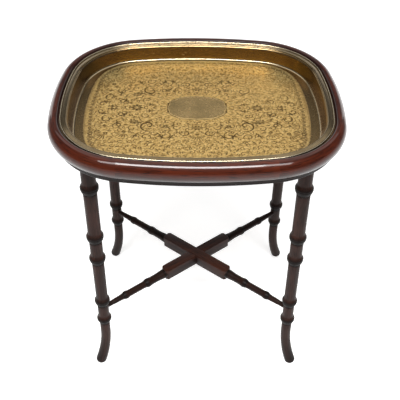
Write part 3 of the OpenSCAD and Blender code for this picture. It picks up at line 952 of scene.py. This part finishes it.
def mahogany():
    return wood("mahogany", (0.085, 0.013, 0.003), (0.040, 0.0065, 0.002), (0.014, 0.003, 0.0015),
                (0.008, 0.003, 0.002), 1.0, 0.06, 0.36, 0.08)


def dark_mahogany():
    return wood("dark_mahogany", (0.044, 0.017, 0.012), (0.022, 0.010, 0.0075), (0.010, 0.005, 0.0034),
                (0.004, 0.0024, 0.002), 0.18, 0.22, 0.5, 0.08)


def stretcher_mahogany():
    return wood("stretcher_mahogany", (0.060, 0.018, 0.009), (0.029, 0.0085, 0.005), (0.012, 0.0045, 0.0034),
                (0.005, 0.0028, 0.0022), 0.3, 0.3, 0.5, 0.08)


def plain_wood():
    return wood("plain_wood", (0.40, 0.25, 0.13), (0.30, 0.18, 0.09), (0.20, 0.11, 0.05),
                (0.1, 0.05, 0.03), 0.0, 0.5, 0.6, 0.3, object_source)


def tarnish(s, place):
    """Cloudy patina with spots, from 0 clean to 1 dark."""
    cloud = s.noise(place, 14, 6, 0.62, 0.4)
    spots = s.ramp(s.noise(place, 120, 4, 0.6), [(0.58, 0.0), (0.72, 1.0)])
    return s.mix(0.35, s.ramp(cloud, [(0.32, 0.0), (0.72, 1.0)]), spots)


# pale brass painted along the tray wall's bends as highlight lines
HIGHLIGHT_BRASS = (0.53, 0.44, 0.29)


def brass(name, clean, dull, rough_low, rough_high, end=None):
    """Polished sheet or cast brass, clean to dull in clouds; end is a darker colour painted on its left end
    as shade.
    """
    s = Shader(name)
    place = s.place((1, 1, 1))
    patina = tarnish(s, place)
    streak = s.noise(s.place((10, 700, 700), s.attribute("grain", "Vector")), 1, 3)
    colour = s.mix(patina, (*clean, 1), (*dull, 1))
    if end:
        # painted shade: the left end goes darker
        left = s.maths("MULTIPLY", s.axis(0), -1.0)
        colour = s.mix(s.ramp(left, [(0.15, 0.0), (0.225, 0.85)]), colour, (*end, 1))
    # painted highlight lines along the tray wall's bends
    colour = s.mix(s.attribute("painted_highlight"), colour, (*HIGHLIGHT_BRASS, 1))
    rough = s.ramp(s.mix(0.5, patina, streak), [(0.1, rough_low), (0.8, rough_high)])
    return s.surface(Base_Color=colour, Metallic=1.0, Roughness=rough, Normal=s.bump(streak, 0.08, 0.0002))


def wall_brass():
    # the tray wall, with painted shade on its left end
    return brass("brass", (0.32, 0.185, 0.054), (0.16, 0.09, 0.03), 0.16, 0.32,
                 end=(0.17, 0.115, 0.065))


def border_brass():
    return brass("brass_border", (0.27, 0.205, 0.115), (0.14, 0.10, 0.052), 0.14, 0.3)


# a paler copy of the border brass, so the bead reads as a bright line: painted highlight
def bead_highlight_brass():
    return brass("bead_highlight_brass", (0.62, 0.54, 0.39), (0.42, 0.35, 0.24), 0.16, 0.3)


def matted_ground(s, place, mottle, groove):
    """Colour of the engraved field: mottled and stippled, dark in the grooves."""
    stipple = s.noise(place, 520, 3, 0.7)
    ground = s.ramp(mottle, [(0.34, (0.36, 0.215, 0.063)), (0.5, (0.71, 0.475, 0.163)),
                             (0.68, (0.93, 0.70, 0.30))])
    ground = s.mix(s.ramp(stipple, [(0.4, 0.0), (0.7, 0.45)]), ground, (0.34, 0.22, 0.08, 1))
    return s.mix(s.ramp(groove, [(0.15, 0.0), (0.85, 1.0)]), ground, (0.075, 0.04, 0.012, 1))


def engraved_brass():
    """Floor of the tray: matted ground, dark grooves, plain polished middle and edge, with painted shade
    making the back darker and less orange.
    """
    s = Shader("engraved_brass")
    place = s.place((1, 1, 1))
    groove, plain, band = s.attribute("groove"), s.attribute("plain"), s.attribute("band")
    patina = tarnish(s, place)
    mottle = s.noise(place, 210, 4, 0.65, 0.8)
    ground = matted_ground(s, place, mottle, groove)
    middle = s.mix(patina, (0.92, 0.66, 0.29, 1), (0.68, 0.45, 0.19, 1))
    edge = s.mix(patina, (0.34, 0.23, 0.10, 1), (0.17, 0.11, 0.05, 1))
    colour = s.mix(band, s.mix(plain, ground, middle), edge)
    # painted shade: the back of the floor is darkened and cooled, against the warm glow the back wall
    # reflects onto it
    back = s.ramp(s.axis(1), [(0.08, 0.0), (0.19, 1.0)])
    colour = s.mix(back, colour, (0.57, 0.76, 1.0, 1), "MULTIPLY")
    height = s.maths("SUBTRACT", s.maths("MULTIPLY", mottle, 0.6), groove)
    plain_share = s.maths("MAXIMUM", plain, s.ramp(band, [(0.6, 0.0), (1.0, 1.0)]))
    field = s.maths("SUBTRACT", 1.0, plain_share)
    matted = s.ramp(mottle, [(0.2, 0.42), (0.8, 0.58)])
    rough = s.mix(s.maths("SUBTRACT", 1.0, field), matted, s.ramp(patina, [(0, 0.2), (1, 0.36)]))
    normal = s.bump(s.maths("MULTIPLY", height, field), 0.35, 0.0006)
    return s.surface(Base_Color=colour, Metallic=1.0, Roughness=rough, Normal=normal)


def steel():
    """Screws: grey steel, worn bright in places."""
    s = Shader("steel")
    wear = s.noise(s.place((1, 1, 1)), 300, 5, 0.6)
    colour = s.ramp(wear, [(0.3, (0.22, 0.21, 0.20)), (0.7, (0.55, 0.54, 0.52))])
    rough = s.ramp(wear, [(0.2, 0.5), (0.8, 0.28)])
    return s.surface(Base_Color=colour, Metallic=1.0, Roughness=rough, Normal=s.bump(wear, 0.2, 0.0002))


MATERIALS = {
    "mahogany": mahogany(),
    "dark_mahogany": dark_mahogany(),
    "stretcher_mahogany": stretcher_mahogany(),
    "plain_wood": plain_wood(),
    "brass": wall_brass(),
    "brass_border": border_brass(),
    "bead_highlight_brass": bead_highlight_brass(),
    "engraved_brass": engraved_brass(),
    "steel": steel(),
}


def finish_piece(obj, body, nodes, slot, material=None):
    """Gives a piece the material of its slot, or the one named, hides the CAD nodes it stands for and rides
    it on its body.
    """
    obj.data.materials.clear()
    obj.data.materials.append(MATERIALS[material or slot])
    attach(obj, body)
    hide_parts(*nodes)


def paint_cad_nodes():
    """The CAD parts that stay visible keep their shape and get their slot's material."""
    slots = {part["node"]: part["material_slot"] for part in frame["record"]["subparts"]}
    for name, obj in frame["nodes"].items():
        if not obj.hide_render:
            obj.data.materials.clear()
            obj.data.materials.append(MATERIALS[slots[name]])


# ---- Studio ----

def pale_floor():
    s = Shader("pale_floor")
    tone = s.noise(s.place((1, 1, 1)), 3, 3)
    s.surface(Base_Color=s.ramp(tone, [(0.2, 0.90), (0.8, 0.93)]), Roughness=0.7,
              Emission_Color=(1, 1, 1, 1), Emission_Strength=0.5)
    half = 6.0
    points = [(-half, -half, 0), (half, -half, 0), (half, half, 0), (-half, half, 0)]
    floor = new_object("floor", points, [[0, 1, 2, 3]])
    floor.data.materials.append(s.material)


def soft_light(name, place, target, size, power):
    """A rectangular light that faces its target."""
    data = bpy.data.lights.new(name, "AREA")
    data.shape, data.size, data.size_y, data.energy = "RECTANGLE", size[0], size[1], power
    lamp = bpy.data.objects.new(name, data)
    lamp.location = place
    lamp.rotation_euler = (Vector(target) - Vector(place)).to_track_quat("-Z", "Y").to_euler()
    bpy.context.scene.collection.objects.link(lamp)


def studio():
    """White world, two front lights over the camera, one behind and one overhead."""
    scene = bpy.context.scene
    world = bpy.data.worlds.new("studio")
    scene.world = world
    world.use_nodes = True
    sky = world.node_tree.nodes["Background"]
    sky.inputs["Color"].default_value = (1, 1, 1, 1)
    sky.inputs["Strength"].default_value = 0.12
    tray = (0, 0, RIM_Z)
    soft_light("key", (-0.05, -0.98, 1.96), tray, (1.2, 0.40), 28)
    soft_light("key_wide", (-0.05, -1.00, 1.99), tray, (2.4, 0.42), 36)
    soft_light("backdrop", (0, 2.6, 0.8), tray, (5, 1.6), 28)
    soft_light("overhead", (0, 0.9, 2.9), tray, (4, 2.6), 33)
    scene.view_settings.view_transform = "Standard"


def camera():
    """Three quarters down on the front, a little left of the middle."""
    data = bpy.data.cameras.new("camera")
    data.sensor_width = 36
    data.lens = 58.5
    cam = bpy.data.objects.new("camera", data)
    cam.location = (-5.0 * MM, -1086.7 * MM, 1270.5 * MM)
    yaw, pitch, roll = (math.radians(a) for a in (0.67, 40.516, 0.70))
    cam.rotation_mode = "XYZ"
    look = Euler((PI / 2 - pitch, 0, -yaw), "XYZ").to_matrix()
    cam.rotation_euler = (look @ Euler((0, 0, roll), "XYZ").to_matrix()).to_euler()
    bpy.context.scene.collection.objects.link(cam)
    bpy.context.scene.camera = cam


# ---- Everything ----

build_rails()
build_aprons()
build_tray_wall()
build_tray_rim()
build_tray_floor()
build_legs()
build_bar("stretcher_bar_lower", 1, True)
build_bar("stretcher_bar_upper", -1, False)
paint_cad_nodes()
pale_floor()
studio()
camera()
bpy.context.view_layer.update()
